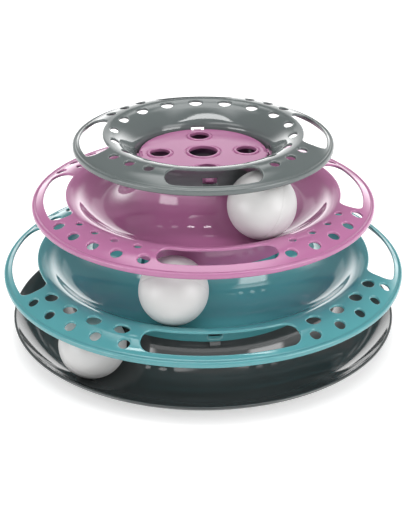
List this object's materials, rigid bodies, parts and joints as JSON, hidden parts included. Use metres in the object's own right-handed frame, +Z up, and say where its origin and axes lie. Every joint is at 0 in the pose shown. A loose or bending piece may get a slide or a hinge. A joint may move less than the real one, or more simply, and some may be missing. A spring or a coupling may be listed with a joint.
{
  "type": "cat ball track toy",
  "caption": "Stacked round cat toy: balls roll in ring tracks between perforated plastic tiers with paw slots, on a dished base tray, under a bowl-shaped top ring.",
  "frame": {"origin": "on the floor under the tower's axis", "axes": "+Z up along the tower's axis, -Y towards the front paw slots"},
  "size_m": [0.25, 0.25, 0.1302],
  "materials": {
    "charcoal_plastic": "glossy",
    "teal_plastic": "glossy",
    "pink_plastic": "glossy",
    "grey_plastic": "glossy",
    "white_plastic": "satin",
    "rubber": "matt"
  },
  "bodies": {
    "base": {"base_tray": "charcoal_plastic", "rubber_feet": "rubber"},
    "lower_tier": {"lower_tier": "teal_plastic"},
    "upper_tier": {"upper_tier": "pink_plastic"},
    "top_ring": {"top_ring": "grey_plastic"},
    "lower_ball": {"lower_ball_upper_half": "white_plastic", "lower_ball_lower_half": "white_plastic"},
    "middle_ball": {"middle_ball_upper_half": "white_plastic", "middle_ball_lower_half": "white_plastic"},
    "upper_ball": {"upper_ball_upper_half": "white_plastic", "upper_ball_lower_half": "white_plastic"}
  },
  "joints": [
    {"name": "lower_tier_lift", "type": "slide", "parent": "base", "child": "lower_tier", "axis": [0, 0, 1], "range_m": [0, 0.06]},
    {"name": "upper_tier_lift", "type": "slide", "parent": "lower_tier", "child": "upper_tier", "axis": [0, 0, 1], "range_m": [0, 0.06]},
    {"name": "top_ring_lift", "type": "slide", "parent": "upper_tier", "child": "top_ring", "axis": [0, 0, 1], "range_m": [0, 0.06]},
    {"name": "lower_ball_roll", "type": "hinge", "parent": "base", "child": "lower_ball", "pos_m": [0, 0, 0], "axis": [0, 0, 1], "continuous": true},
    {"name": "middle_ball_roll", "type": "hinge", "parent": "lower_tier", "child": "middle_ball", "pos_m": [0, 0, 0], "axis": [0, 0, 1], "continuous": true},
    {"name": "upper_ball_roll", "type": "hinge", "parent": "upper_tier", "child": "upper_ball", "pos_m": [0, 0, 0], "axis": [0, 0, 1], "continuous": true}
  ]
}
